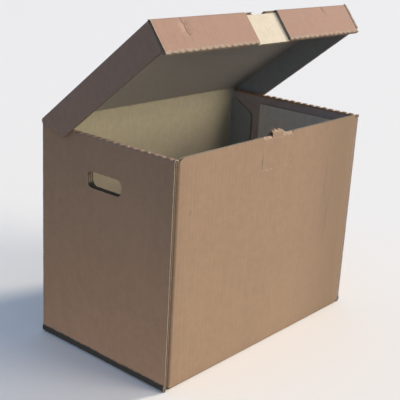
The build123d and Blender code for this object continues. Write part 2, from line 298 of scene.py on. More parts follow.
class Board:
    """A board in its place.  w = 0 is its cream face and w = thickness its brown face.

    folds are (axis, limit, sign): beyond limit along u (0) or v (1) the board curls towards its cream
    face, through a right angle over FOLD_LENGTH.  bow(u, v) moves the whole board along w, and
    dent(u, v) presses in the outer liner only, where the flutes are crushed.
    """

    def __init__(
        self, origin, u_axis, v_axis, thickness=BOARD, folds=(), bow=None, dent=None, lid=False,
        tones=None,
    ):
        self.origin = np.array(origin, float)
        self.axes = np.array((u_axis, v_axis, np.cross(u_axis, v_axis)), float)
        self.thickness = thickness
        self.folds = folds
        self.bow = bow
        self.dent = dent
        self.lid = lid
        # The lid's tones are painted light: a pinker brown for the sky light on its tilted faces and a
        # darker, greyer cream for the shade under it.
        lid_tones = ("brown_liner_lid_painted_skylight", "cream_liner_lid_painted_shade")
        self.tones = tones or (lid_tones if lid else ("brown_liner", "cream_liner"))

    def place(self, flat):
        p = flat.copy()
        if self.bow:
            p[:, 2] += self.bow(flat[:, 0], flat[:, 1])
        if self.dent:
            p[:, 2] -= self.dent(flat[:, 0], flat[:, 1]) * (flat[:, 2] > self.thickness * 0.6)
        for axis, limit, sign in self.folds:
            beyond = (p[:, axis] - limit) * sign
            turn = np.maximum(beyond, 0) / FOLD_LENGTH * math.pi / 2
            reach = np.maximum(p[:, 2], 0.2 * MM)
            curled = beyond > 0
            p[:, axis] = np.where(curled, limit + sign * reach * np.sin(turn), p[:, axis])
            p[:, 2] = np.where(curled, reach * np.cos(turn), p[:, 2])
        return to_world(self.origin + p @ self.axes, self.lid)

    def fold_lines(self, loops):
        """Lines of points across the loops, close enough together for each fold to curl smoothly."""
        for axis, limit, sign in self.folds:
            for step in range(FOLD_STEPS):
                at = limit + sign * FOLD_LENGTH * step / FOLD_STEPS
                for start, end in spans(loops, axis, at):
                    count = max(1, round((end - start) / OUTLINE_STEP))
                    along = [start + (end - start) * k / count for k in range(count + 1)]
                    yield [(at, a) if axis == 0 else (a, at) for a in along]

    def mesh(self, loops, lines):
        """Points and triangles that fill the loops, with edges along the folds and the given lines."""
        points = [tuple(p) for loop in loops for p in loop]
        edges = []
        first = 0
        for loop in loops:
            count = len(loop)
            edges += [(first + i, first + (i + 1) % count) for i in range(count)]
            first += count
        low, high = loops[0].min(0), loops[0].max(0)
        for loop in loops:
            run = np.roll(loop, -1, axis=0) - np.roll(loop, 1, axis=0)
            normal = np.column_stack((-run[:, 1], run[:, 0]))
            normal /= np.linalg.norm(normal, axis=1)[:, None]
            inset = loop + normal * WEAR_WIDTH
            keep = inside(inset, loops) & (distance(inset, loops) > 0.8 * WEAR_WIDTH)
            points += [tuple(p) for p in inset[keep]]
        for line in (*self.fold_lines(loops), *lines):
            first = len(points)
            points += [tuple(p) for p in line]
            edges += [(k, k + 1) for k in range(first, len(points) - 1)]
        taken = np.array(points)
        for u in np.arange(low[0] + GRID / 2, high[0], GRID):
            for v in np.arange(low[1] + GRID / 2, high[1], GRID):
                if np.min(np.sum((taken - (u, v)) ** 2, axis=1)) > (0.45 * GRID) ** 2:
                    points.append((u, v))
        result = geometry.delaunay_2d_cdt([Vector(p) for p in points], edges, [], 0, 1e-7)
        flat = np.array([tuple(p) for p in result[0]])
        faces = np.array([tuple(f) for f in result[2]])
        kept = faces[inside(flat[faces].mean(axis=1), loops)]
        return flat, [tuple(int(i) for i in f) for f in kept]

    def flutes(self, loops, along, cut_depth):
        """The fluted medium near the cut edges, as strips that run along u (0) or v (1)."""
        across = 1 - along
        low, high = loops[0].min(0), loops[0].max(0)
        step = FLUTE_PITCH / FLUTE_STEPS
        inset = 0.25 * MM
        rows = max(3, math.ceil((high[along] - low[along]) / (24 * MM)))
        flat, faces, previous = [], [], []
        for at in np.arange(low[across] + inset, high[across] - inset, step):
            found = [(a + inset, b - inset) for a, b in spans(loops, across, at) if b - a > 4 * inset]
            current = []
            for a, b in found:
                reach = min(cut_depth, (b - a) / 3)
                knots = [a, *np.linspace(a + reach, b - reach, rows - 1), b]
                current.append(range(len(flat), len(flat) + len(knots)))
                flat += [(at, k) if across == 0 else (k, at) for k in knots]
            if len(previous) == len(current):
                for left, right in zip(previous, current):
                    for k in range(rows):
                        cell = (left[k], right[k], right[k + 1], left[k + 1])
                        faces.append(cell if across == 0 else cell[::-1])
            previous = current
        flat = np.array(flat)
        middles = flat[np.array(faces)].mean(axis=1)
        near = distance(middles, loops) < cut_depth
        faces = [f for f, is_near in zip(faces, near) if is_near]
        swing = self.thickness / 2 - LINER - MEDIUM / 2
        wave = self.thickness / 2 + swing * np.sin(flat[:, across] / FLUTE_PITCH * 2 * math.pi)
        return flat, faces, wave

    def make(
        self, name, body, node, slot, corners, holes=(), lines=(), along=1, cut_depth=CUT_DEPTH,
        crushed=False, scuffs=(),
    ):
        """Cuts the board to its outline and makes one piece of it: two liners and the medium.

        The flutes stand open cut_depth behind a cut, or not at all if the edge is crushed.  scuffs
        are (u, v, radius) where the liners are worn.
        """
        piece = Piece(name, self.place)
        clean = [outline(corners)] + [outline(hole, clockwise=True) for hole in holes]
        uneven = np.random.default_rng(len(made) + 1)
        loops = [loop + uneven.normal(0, FUZZ, loop.shape) for loop in clean]
        flat, faces = self.mesh(loops, lines)
        wear_and_painted_light = np.clip(1 - distance(flat, loops) / WEAR_WIDTH, 0, 1)
        for u, v, radius in scuffs:
            wear_and_painted_light = np.maximum(wear_and_painted_light, 1 - np.hypot(flat[:, 0] - u, flat[:, 1] - v) / radius)
        ones = np.ones(len(flat))
        piece.slab(flat, faces, 0 * ones, LINER * ones, (RAW, CREAM, RAW), wear_and_painted_light)
        outer = self.thickness * ones
        piece.slab(flat, faces, outer - LINER, outer, (BROWN, RAW, RAW), wear_and_painted_light)
        if crushed:
            piece.slab(flat, faces, ones * LINER / 2, outer - LINER / 2, (RAW, RAW, BROWN), ones)
            return piece.finish(body, [node], slot, self.tones)
        core_margin = cut_depth - 1 * MM if cut_depth > CUT_DEPTH else 0.75 * WEAR_WIDTH
        deep = distance(flat, loops) > core_margin
        core = [face for face in faces if all(deep[i] for i in face)]
        piece.slab(flat, core, ones * LINER / 2, outer - LINER / 2, (RAW, RAW, RAW))
        strips, cells, wave = self.flutes(loops, along, cut_depth)
        piece.slab(strips, cells, wave - MEDIUM / 2, wave + MEDIUM / 2, (RAW, RAW, RAW))
        return piece.finish(body, [node], slot, self.tones)


# ---------------- materials
class Graph:
    """Short calls for the nodes of a material or a world."""

    def __init__(self, owner):
        self.owner = owner
        self.owner.use_nodes = True
        self.tree = owner.node_tree
        self.shader = self.tree.nodes.get("Principled BSDF")

    def node(self, kind, inputs=None, **settings):
        made_node = self.tree.nodes.new(kind)
        for key, value in settings.items():
            setattr(made_node, key, value)
        for key, value in (inputs or {}).items():
            self.put(made_node.inputs[key], value)
        return made_node

    def put(self, socket, value):
        if isinstance(value, bpy.types.NodeSocket):
            self.tree.links.new(value, socket)
        else:
            socket.default_value = value

    def attribute(self, name, output):
        return self.node("ShaderNodeAttribute", attribute_name=name).outputs[output]

    def math(self, operation, a, b=0.0):
        found = self.node("ShaderNodeMath", operation=operation)
        self.put(found.inputs[0], a)
        self.put(found.inputs[1], b)
        return found.outputs[0]

    def product(self, value, *others):
        for other in others:
            value = self.math("MULTIPLY", value, other)
        return value

    def near(self, value, centre, full, none):
        """1 where value is within full of centre, and 0 from none outwards."""
        off = self.math("ABSOLUTE", self.math("SUBTRACT", value, centre))
        return self.ramp(off, full, none, 1.0, 0.0)

    def scaled(self, vector, factors):
        found = self.node("ShaderNodeVectorMath", operation="MULTIPLY")
        self.put(found.inputs[0], vector)
        self.put(found.inputs[1], factors)
        return found.outputs[0]

    def noise(self, vector, scale, detail=3.0, rough=0.55):
        inputs = {"Vector": vector, "Scale": scale, "Detail": detail, "Roughness": rough}
        return self.node("ShaderNodeTexNoise", inputs).outputs["Fac"]

    def ramp(self, value, low, high, to_low=0.0, to_high=1.0):
        inputs = {
            "Value": value, "From Min": low, "From Max": high, "To Min": to_low, "To Max": to_high,
        }
        return self.node("ShaderNodeMapRange", inputs, interpolation_type="SMOOTHSTEP").outputs[0]

    def mix(self, amount, a, b):
        found = self.node("ShaderNodeMix", data_type="RGBA")
        self.put(found.inputs[0], amount)
        self.put(found.inputs[6], a if isinstance(a, bpy.types.NodeSocket) else (*a, 1.0))
        self.put(found.inputs[7], b if isinstance(b, bpy.types.NodeSocket) else (*b, 1.0))
        return found.outputs[2]

    def split(self, vector):
        return self.node("ShaderNodeSeparateXYZ", {"Vector": vector}).outputs

    def bump(self, height, strength, depth):
        inputs = {"Height": height, "Strength": strength, "Distance": depth}
        self.put(self.shader.inputs["Normal"], self.node("ShaderNodeBump", inputs).outputs[0])


def liner(name, base, worn_and_painted_light, fleck):
    """Paper liner of corrugated board: mottle, fibres, flecks, faint flute lines and worn edges, and on
    the hems painted highlights and shadows in the same edge colour.
    """
    g = Graph(bpy.data.materials.new(name))
    is_brown = name.startswith("brown")
    roughness, lines = (0.82, 0.12) if is_brown else (0.86, 0.10)
    dark = tuple(0.88 * c for c in base)
    light = tuple(1.08 * c for c in base)
    flat = g.attribute("flat", "Vector")
    rest = g.attribute("rest", "Vector")
    wear_and_painted_light = g.attribute("wear_and_painted_light", "Fac")
    mottle = g.noise(flat, 90.0, 5.0, 0.65)
    streaks = g.noise(g.scaled(flat, (150.0, 7.0, 30.0)), 1.0, 4.0, 0.6)
    cloud = g.noise(rest, 5.0, 3.0)
    fibres = g.noise(g.scaled(flat, (900.0, 260.0, 500.0)), 1.0, 4.0, 0.65)
    cross_fibres = g.noise(g.scaled(flat, (240.0, 1100.0, 500.0)), 1.0, 3.0, 0.6)
    grain = g.noise(flat, 620.0, 3.0, 0.75)
    wave = g.math("SINE", g.product(g.split(flat)[0], 2 * math.pi / FLUTE_PITCH))
    colour = g.mix(g.ramp(mottle, 0.3, 0.7), dark, base)
    for pattern, low, high, amount, tint in (
        (cloud, 0.42, 0.75, 0.35, light),
        (streaks, 0.45, 0.75, 0.4, light),
        (fibres, 0.5, 0.8, 0.45, light),
        (cross_fibres, 0.55, 0.8, 0.5, dark),
        (grain, 0.5, 0.75, fleck, (0.12, 0.09, 0.06)),
        (wave, -1.0, 1.0, lines, dark),
    ):
        colour = g.mix(g.ramp(pattern, low, high, 0.0, amount), colour, tint)
    ragged = g.math("ADD", wear_and_painted_light, g.ramp(g.noise(rest, 160.0, 3.0), 0.3, 0.7, -0.75, 0.25))
    colour = g.mix(g.ramp(ragged, 0.35, 0.9, 0.0, 0.75), colour, worn_and_painted_light)
    if is_brown:
        colour = marks_and_painted_foot_shade(g, colour, rest)
    # Painted shade: the cream inside of the body darkens and greys lower down.
    if name == "cream_liner":
        painted_depth_shade = g.ramp(g.split(rest)[2], 200 * MM, 310 * MM, 0.6, 0.0)   # painted shade, darker and greyer lower down inside
        colour = g.mix(painted_depth_shade, colour, (0.33, 0.27, 0.21))
    g.put(g.shader.inputs["Base Color"], colour)
    g.put(g.shader.inputs["Roughness"], g.ramp(mottle, 0.3, 0.7, roughness - 0.06, roughness + 0.06))
    g.shader.inputs["Specular IOR Level"].default_value = 0.25
    height = g.math("ADD", g.product(fibres, 0.35), g.product(wave, 0.5))
    g.bump(g.math("ADD", height, g.product(cross_fibres, 0.3)), 0.6, 0.08 * MM)
    return g.owner


def marks_and_painted_foot_shade(g, colour, rest):
    """Painted shade with grime along the feet of the side walls, a stain, a spot and a tint on the
    front, and scuffs.
    """
    x, y, z = g.split(rest)
    # Painted shade: the foot of each side wall, where the board curls under over the base, goes nearly
    # black, speckled with grime.
    outside = g.ramp(g.math("ABSOLUTE", x), half_width - 2.6 * MM, half_width - 1.2 * MM)
    ragged_z = g.math("ADD", z, g.product(g.noise(rest, 60.0, 3.0), 4 * MM))
    foot = g.ramp(ragged_z, 11.5 * MM, 14.5 * MM, 1.0, 0.0)
    ends = g.near(y, 0.0, half_depth - 1.5 * MM, half_depth - 0.2 * MM)
    speckle = g.noise(rest, 700.0, 2.0)
    foot_shade_and_grime = g.mix(g.ramp(speckle, 0.5, 0.8), (0.020, 0.027, 0.023), (0.075, 0.085, 0.07))
    colour = g.mix(g.product(foot, outside, ends, 0.95), colour, foot_shade_and_grime)
    front = g.ramp(y, -half_depth + 1 * MM, -half_depth + 3 * MM, 1.0, 0.0)
    brown = (0.2, 0.14, 0.1)
    stain_x = g.near(x, 148 * MM, 4 * MM, 22 * MM)
    stain_z = g.near(z, 205 * MM, 30 * MM, 90 * MM)
    streak = g.ramp(g.noise(g.scaled(rest, (90.0, 1.0, 7.0)), 1.0, 3.0), 0.4, 0.62)
    colour = g.mix(g.product(stain_x, stain_z, streak, front, 0.35), colour, brown)
    tint = g.product(g.ramp(x, 50 * MM, 200 * MM, 0.0, 0.62), front)
    colour = g.mix(tint, colour, (0.27, 0.175, 0.10))
    spot_x = g.near(x, -185.5 * MM, 0.6 * MM, 3.2 * MM)
    spot_z = g.near(z, 254.5 * MM, 1 * MM, 6 * MM)
    colour = g.mix(g.product(spot_x, spot_z, front, 0.35), colour, brown)
    scuff = g.ramp(g.noise(g.scaled(rest, (30.0, 30.0, 9.0)), 1.0, 4.0, 0.7), 0.62, 0.75, 0.0, 0.2)
    return g.mix(scuff, colour, (0.47, 0.31, 0.21))


def raw_edge():
    """Kraft medium and the bare inside of the liners, as a cut shows them, with painted shade in the
    hand holes.
    """
    g = Graph(bpy.data.materials.new("raw_edge"))
    rest = g.attribute("rest", "Vector")
    fibres = g.noise(rest, 900.0, 4.0, 0.65)
    cloud = g.noise(rest, 45.0, 3.0)
    colour = g.mix(g.ramp(fibres, 0.35, 0.7), (0.28, 0.21, 0.135), (0.56, 0.44, 0.30))
    colour = g.mix(g.ramp(cloud, 0.4, 0.7, 0.0, 0.5), colour, (0.40, 0.32, 0.21))
    # Painted shade: the cut jambs of the hand holes go nearly black.
    x, y, z = g.split(rest)
    side = g.ramp(g.math("ABSOLUTE", x), half_width - 14 * MM, half_width - 13 * MM)
    along = g.near(y, 0.0, hole_length / 2 + 2 * MM, hole_length / 2 + 4 * MM)
    up = g.near(z, hole_centre, hole_height / 2 + 2 * MM, hole_height / 2 + 4 * MM)
    lower = g.ramp(z, hole_centre - 9 * MM, hole_centre - 5 * MM, 1.0, 0.0)
    hole_shade_part = g.math("MAXIMUM", lower, g.ramp(x, 0.0, 1 * MM))    # all round at the right, low at the left
    colour = g.mix(g.product(side, along, up, hole_shade_part, 0.88), colour, (0.02, 0.022, 0.02))
    g.put(g.shader.inputs["Base Color"], colour)
    g.shader.inputs["Roughness"].default_value = 0.92
    g.shader.inputs["Specular IOR Level"].default_value = 0.2
    g.bump(fibres, 0.8, 0.12 * MM)
    return g.owner


materials = {"raw_edge": raw_edge()}
for tone, base_colour, worn_and_painted_light_colour, flecks in (
    ("brown_liner", (0.400, 0.253, 0.148), (0.50, 0.36, 0.25), 0.14),
    # a pinker copy of the brown liner for the lid: painted sky light on its tilted faces
    ("brown_liner_lid_painted_skylight", (0.404, 0.236, 0.155), (0.50, 0.36, 0.26), 0.14),
    # a darker copy of the brown liner for the lid's side flanges: painted shade
    ("brown_liner_flange_painted_shade", (0.35, 0.225, 0.150), (0.50, 0.36, 0.26), 0.14),
    # a greyer, paler copy of the brown liner for the linings' inner faces: painted cool sky light in the
    # shade inside the box
    ("brown_liner_inside_painted_skylight", (0.47, 0.40, 0.375), (0.46, 0.38, 0.33), 0.20),
    # The hems' edge colours are painted light: a pale highlight on the right wall's crest, a dark shadow
    # along the left wall's top, and raw olive with painted shade on the lid.
    ("brown_hem", (0.400, 0.253, 0.155), (0.66, 0.52, 0.42), 0.10),
    ("brown_hem_left_painted_shadow", (0.37, 0.238, 0.146), (0.19, 0.14, 0.10), 0.10),
    ("brown_hem_lid_raw_and_painted_shade", (0.408, 0.250, 0.164), (0.37, 0.30, 0.20), 0.20),
    ("cream_liner", (0.60, 0.505, 0.315), (0.52, 0.43, 0.28), 0.30),
    # a darker, greyer copy of the cream liner for the lid's inner faces: painted shade under the lid
    ("cream_liner_lid_painted_shade", (0.47, 0.42, 0.345), (0.50, 0.43, 0.31), 0.25),
    # a dark grey copy of the cream liner for the inside of the lid's side flanges: painted deep shade
    ("cream_liner_flange_painted_deep_shade", (0.34, 0.355, 0.35), (0.45, 0.41, 0.33), 0.25),
    # a brighter, warmer copy of the cream liner for the lid's front lining: painted sunlight on the
    # patch in the notch
    ("cream_liner_front_painted_light", (0.71, 0.59, 0.415), (0.58, 0.48, 0.33), 0.30),
    # a grey copy of the cream liner for the front end tabs: painted cool shade
    ("cream_liner_tab_painted_shade", (0.72, 0.70, 0.63), (0.52, 0.47, 0.38), 0.22),
    # a dark grey copy of the cream liner for the rear end tabs: painted deep shade in the back corners
    ("cream_liner_rear_tab_painted_deep_shade", (0.33, 0.35, 0.345), (0.42, 0.39, 0.34), 0.35),
):
    materials[tone] = liner(tone, base_colour, worn_and_painted_light_colour, flecks)


# ---------------- body panels
def hand_hole(clearance, drop=0.0):
    half_length = hole_length / 2 + clearance
    low = hole_centre - drop - hole_height / 2 - clearance
    high = hole_centre - drop + hole_height / 2 + clearance
    return rectangle(-half_length, half_length, low, high, hole_radius)


def slack(depth, half_u, low_v, high_v):
    """A shallow bow of a board, nothing at its edges and depth in its middle."""
    def bow(u, v):
        across = np.clip(1 - (u / half_u) ** 2, 0, 1)
        up = np.clip(4 * (v - low_v) * (high_v - v) / (high_v - low_v) ** 2, 0, 1)
        return -depth * across * up
    return bow


wall_slack = slack(1.6 * MM, half_depth, 0.0, wall_height)


def opposite_slack(u, v):
    return -wall_slack(u, v)


def side_shape(u, v):
    """Slack of a side wall, with its foot bulging where the board is crushed over the base."""
    bulge = 2.4 * MM * np.exp(-((v - 6 * MM) / (4.5 * MM)) ** 2)
    return wall_slack(u, v) + bulge


def walls():
    for side, name in SIDES:
        low, high = body_box(f"{name}_outer_wall")
        foot = low[2] + BOARD - FOLD_LENGTH
        span = 2 * half_depth
        outer = Board(
            (side * (half_width - BOARD), 0, 0), (0, side, 0), UP,
            folds=((1, BOARD, -1),), bow=side_shape,
        )
        setback = 1.2 * MM if side > 0 else 0.0    # the right wall stops short of the front
        corners = rectangle(setback - span / 2, span / 2, foot, high[2])
        bulge_lines = [
            [(u, BOARD + up * MM) for u in np.linspace(-span / 2 + 1 * MM, span / 2 - 1 * MM, 37)]
            for up in (0.6, 3, 6.5, 11)
        ]
        outer.make(
            f"{name}_side_board", "body", f"{name}_outer_wall", "brown_liner", corners, [hand_hole(0)],
            lines=bulge_lines, crushed=side > 0,
        )
        low, high = body_box(f"{name}_inner_wall")
        outer_x = high[0] if side > 0 else low[0]
        # The lining's brown face takes the copy of the brown liner with painted cool sky light.
        inner = Board(
            (outer_x, 0, 0), (0, -side, 0), UP, thickness=high[0] - low[0], bow=opposite_slack,
            tones=("brown_liner_inside_painted_skylight", "cream_liner"),
        )
        setback = 3.5 * MM if side < 0 else 1.2 * MM    # the lining stops short of the front
        foot, bottom = 4.1 * MM, low[2]
        corners = [(low[1] + setback, foot)]
        for centre in (-base_tongue_spacing, base_tongue_spacing):
            near, far = centre - base_tongue_half, centre + base_tongue_half
            corners += [(near, foot), (near, bottom), (far, bottom), (far, foot)]
        corners += [(high[1], foot), (high[1], high[2]), (low[1] + setback, high[2])]
        inner.make(
            f"{name}_lining_board", "body", f"{name}_inner_wall", "brown_liner",
            [(u * -side, v) for u, v in corners], [hand_hole(hole_clearance)], crushed=side > 0,
        )


def end_tabs():
    for side, name in SIDES:
        for end in ("front", "rear"):
            low, high = body_box(f"{end}_{name}_tab")
            inner_x = min(abs(low[0]), abs(high[0]))
            # The tabs' cream faces are painted shade: grey at the front, dark at the rear.
            tone = "cream_liner_tab_painted_shade" if end == "front" else "cream_liner_rear_tab_painted_deep_shade"
            tab = Board(
                (side * inner_x, 0, 0), (0, side, 0), UP, bow=wall_slack,
                tones=("brown_liner", tone),
            )
            if end == "front":
                fixed, free = low[1] * side, high[1] * side
                tip = [(free, high[2], 1.5 * MM)]
                holes = [hand_hole(hole_clearance, drop=3.4 * MM if side > 0 else 0.0)]
            else:
                fixed, free = high[1] * side, low[1] * side
                along, down = 40.4 * MM, 23.8 * MM
                tip = [(free, high[2] - down, 3 * MM), (free + side * along, high[2], 3 * MM)]
                holes = []
            corners = [(fixed, low[2]), (free, low[2]), *tip, (fixed, high[2])]
            tab.make(
                f"{end}_{name}_tab_board", "body", f"{end}_{name}_tab", "cream_liner", corners, holes
            )


def ends():
    side_limit = panel_half - BOARD
    low, high = body_box("lock_tab")
    slit = 0.7 * MM
    lock_low = lock_fold["pos_m"][2]
    folds = ((0, side_limit, 1), (0, -side_limit, -1), (1, BOARD, -1))
    edge = side_limit + FOLD_LENGTH
    foot = BOARD - FOLD_LENGTH
    base_corners = [(-side_limit, foot), (side_limit, foot), (side_limit, BOARD), (edge, BOARD)]
    last_corners = [(-edge, BOARD), (-side_limit, BOARD)]
    front = Board((0, -half_depth + BOARD, 0), RIGHT, UP, folds=folds)
    hairline = 0.16 * MM
    corners = [
        *base_corners, (edge, wall_height, 9 * MM),
        (high[0] + hairline, wall_height), (high[0] + hairline, lock_low),
        (low[0] - slit, lock_low), (low[0] - slit * 0.8, lock_low + 12 * MM),
        (low[0] - hairline, lock_low + 24 * MM), (low[0] - hairline, wall_height),
        (-side_limit + 1 * MM, wall_height, 13 * MM), (-edge, wall_height - 11 * MM, 6 * MM),
        *last_corners,
    ]
    front.make("front_board", "body", "front_panel", "brown_liner", corners)
    top = body_box("back_panel")[1][2] - 1.3 * MM
    back = Board((0, half_depth - BOARD, 0), (-1, 0, 0), UP, folds=folds)
    tab_top = body_box("rear_left_tab")[1][2]
    notch = side_limit + 2 * MM
    corners = [
        *base_corners, (edge, tab_top, 2 * MM), (notch, tab_top), (notch, top),
        (-notch, top), (-notch, tab_top), (-edge, tab_top, 2 * MM), *last_corners,
    ]
    back.make("back_board", "body", "back_panel", "brown_liner", corners)


def base():
    low, high = body_box("base_panel")
    board = Board((0, 0, high[2]), RIGHT, (0, -1, 0), thickness=high[2] - low[2])
    corners = rectangle(low[0], high[0], low[1], high[1])
    lining_low, lining_high = body_box("right_inner_wall")
    play = 0.4 * MM
    holes = []
    for side in (-1, 1):
        left, right = sorted((side * (lining_low[0] - play), side * (lining_high[0] - 0.6 * MM)))
        for centre in (-base_tongue_spacing, base_tongue_spacing):
            near, far = centre - base_tongue_half - play, centre + base_tongue_half + play
            holes.append(rectangle(left, right, near, far))
    board.make("base_board", "body", "base_panel", "cream_liner", corners, holes)


# ---------------- rolled hems
HEM_SIDES = 22                # faces round the roll
HEM_WALL = 1.5 * MM           # thickness of its pressed board
TOOTH_FLANK = 0.9 * MM        # from the end of a gap to the full height of the tooth beside it


def clamp(value):
    return min(1.0, max(0.0, value))


def hem_stations(gaps, length):
    """Where the roll has a ring of points: at its ends, in and beside each gap, and on each tooth."""
    stations = {0.0, length}
    flank = tooth_gap_width / 2 + TOOTH_FLANK
    for gap in gaps:
        for share in (-1, -0.72, -0.4, 0, 0.4, 0.72, 1):
            stations.add(gap + share * tooth_gap_width / 2)
        stations |= {gap - flank, gap + flank, gap + tooth_pitch / 2}
    return sorted(s for s in stations if 0 <= s <= length)


def hem(name, body, node, start, axes, length, depth, tone, lid=False):
    """A rolled-over edge.  Perforations leave gaps in its outer shoulder, depth deep, and teeth between.

    axes point along it, from its outer to its inner side, and up from its foot.
    """
    count = round(length / tooth_pitch - 0.25)
    gaps = [length / 2 + (k - (count - 1) / 2) * tooth_pitch for k in range(count)]
    uneven = np.random.default_rng(len(made) + 1)
    wobble = uneven.normal(0, 0.12 * MM, count + 2)
    depths = (1 + uneven.normal(0, 0.16, count)) * depth
    flat, rings, wear_and_painted_light = [], [], []
    for s in hem_stations(gaps, length):
        nearest = min(range(count), key=lambda k: abs(s - gaps[k]))
        off = abs(s - gaps[nearest]) / (tooth_gap_width / 2)
        dip = depths[nearest] * math.sqrt(max(0.0, 1 - min(off, 1) ** 2))
        tooth = clamp((off - 1) * tooth_gap_width / 2 / TOOTH_FLANK)
        lift = wobble[nearest + (s > gaps[nearest])] - 0.15 * MM
        ring_out, ring_in = [], []
        for k in range(HEM_SIDES + 1):
            angle = math.pi * k / HEM_SIDES         # 0 on the outer side and pi on the inner
            outer = min(1.0, max(0.0, math.cos(angle)) * 3)
            power = 2 / (2.3 + 5 * tooth * outer)   # a tooth has a squarer shoulder
            across = math.copysign(abs(math.cos(angle)) ** power, math.cos(angle)) * BOARD
            cut = clamp((2.5 - angle) / 0.9)        # the perforations end past the top
            rise = math.sin(angle) ** power * hem_height
            rise -= dip * cut * math.sin(angle) ** 0.5
            rise += lift * tooth * cut * math.sin(angle)
            inner_rise = rise - HEM_WALL * math.sin(angle)
            ring_out.append((s, -across, max(rise, 0.0)))
            ring_in.append((s, -across * (1 - HEM_WALL / BOARD), max(inner_rise, 0.0)))
            # The roll's edge colour is painted light: on the walls a band along the top, a painted
            # highlight on the right wall's crest and a painted shadow on the left; on the lid almost the
            # whole roll, raw olive edge with painted shade where it curves under.
            if lid:
                wear_and_painted_light.append(1.2 * clamp((angle - 0.15 + 0.45 * tooth) / 0.15))
            else:
                wear_and_painted_light.append((0.95 * tooth + 0.25) * math.exp(-((angle - 1.6) / 0.42) ** 2))
        wear_and_painted_light += [0.0] * (HEM_SIDES + 1)
        rings.append(len(flat))
        flat += ring_out + ring_in
    faces, kinds = [], []
    ring = HEM_SIDES + 1
    for a, b in zip(rings, rings[1:]):
        for k in range(HEM_SIDES):
            faces.append((a + k, b + k, b + k + 1, a + k + 1))
            faces.append((a + ring + k + 1, b + ring + k + 1, b + ring + k, a + ring + k))
            kinds += [BROWN, RAW]
        faces.append((a, a + ring, b + ring, b))
        faces.append((b + ring - 1, b + 2 * ring - 1, a + 2 * ring - 1, a + ring - 1))
        kinds += [RAW, RAW]
    for a in (rings[0], rings[-1]):
        for k in range(HEM_SIDES):
            faces.append((a + k, a + k + 1, a + ring + k + 1, a + ring + k))
            kinds.append(RAW)

    def place(points):
        return to_world(np.array(start, float) + points @ np.array(axes, float), lid)

    piece = Piece(name, place)
    piece.add(flat, faces, kinds, np.clip(wear_and_painted_light, 0, 1))
    return piece.finish(body, [node], "brown_liner", (tone, "cream_liner"))


def hems():
    for side, name in SIDES:
        low, high = body_box(f"{name}_top_hem")
        hem(
            f"{name}_rolled_hem", "body", f"{name}_top_hem",
            (side * (half_width - BOARD), low[1], low[2]),
            (BACK, (-side, 0, 0), UP), high[1] - low[1],
            (1.3 if side < 0 else 2.2) * tooth_gap_depth, "brown_hem_left_painted_shadow" if side < 0 else "brown_hem",
        )
        low, high = lid_box(f"lid_front_hem_{name}")
        hem(
            f"lid_rolled_hem_{name}", "lid", f"lid_front_hem_{name}",
            (low[0], low[1] + BOARD, high[2]), (RIGHT, BACK, (0, 0, -1)), high[0] - low[0],
            0.3 * MM, "brown_hem_lid_raw_and_painted_shade", lid=True,
        )


# ---------------- lock tab and tongue
def lock():
    low, high = body_box("lock_tab")
    tongue_low, tongue_high = body_box("lock_tongue")
    board = Board((0, -half_depth + BOARD, 0), RIGHT, UP, folds=((1, high[2] - BOARD, 1),))
    crease = lock_fold["pos_m"][2]
    slit = 0.25 * MM
    top = high[2] - BOARD + FOLD_LENGTH
    corners = [
        (low[0] + slit, crease), (high[0] - slit, crease),
        (high[0] - slit, top), (tongue_high[0], top), (tongue_high[0], high[2] - BOARD),
        (tongue_low[0], high[2] - BOARD), (tongue_low[0], top), (low[0] + slit, top),
    ]
    board.make(
        "lock_tab_board", "lock_tab", "lock_tab", "brown_liner", corners,
        scuffs=[(x * MM, top - 3 * MM, 9 * MM) for x in (-30, -20, 16, 25, 34)],
    )
    rise = tongue_high[2]
    front, back = tongue_low[1] + BOARD, tongue_high[1]
    hump = 7 * MM                 # how far the sprung tongue stands up at its crease

    def crumpled(u):
        share = (u - tongue_low[0]) / (tongue_high[0] - tongue_low[0])
        ends = 2.2 * MM * np.abs(2 * share - 1) ** 4
        waves = 0.7 * MM * np.sin(u / (1.5 * MM)) + 0.5 * MM * np.sin(u / (0.7 * MM))
        return 1.6 * MM * (1 - share) - ends + waves

    def sprung(u, v):
        share = np.clip((v - front) / (7 * MM), 0, 1)
        fall = share * share * (3 - 2 * share)
        droop = np.clip((v - front - 6 * MM) / (12 * MM), 0, 1)
        return (hump + crumpled(u)) * (1 - fall) - 2.6 * MM * fall - 4.5 * MM * droop

    plate = Board(
        (0, 0, rise - BOARD + 0.1 * MM), RIGHT, BACK, thickness=BOARD - 0.1 * MM, bow=sprung,
    )
    taper = 3 * MM
    steps = np.arange(1, 14) * MM
    edge = [(taper * v / (back - front), front + v) for v in steps]
    corners = [(tongue_low[0], front), (tongue_high[0], front)]
    corners += [(tongue_high[0] - inset, v) for inset, v in edge]
    corners += [(tongue_high[0] - taper, back, 2.4 * MM), (tongue_low[0] + taper, back, 2.4 * MM)]
    corners += [(tongue_low[0] + inset, v) for inset, v in reversed(edge)]
    columns = np.linspace(tongue_low[0] + 2.5 * MM, tongue_high[0] - 2.5 * MM, 14)
    rows = [[(u, front + v) for u in columns] for v in steps]
    plate.make(
        "lock_tongue_board", "lock_tongue", "lock_tongue", "brown_liner", corners, lines=rows,
        scuffs=[(-8 * MM, front, 8 * MM), (6 * MM, front, 8 * MM)],
    )
    strip(
        "lock_tongue_crease", ("lock_tab", "lock_tongue"), (),
        [
            (-half_depth, high[2] - BOARD - 1 * MM), (-half_depth, rise + hump - 0.2 * MM),
            (front + 1 * MM, rise + hump - 0.2 * MM),
        ],
        3.6 * MM, tongue_low[0] + 0.3 * MM, tongue_high[0] - 0.3 * MM, BROWN,
        (0, -half_depth, rise - BOARD), (0, -half_depth + BOARD, rise), crumpled,
    )


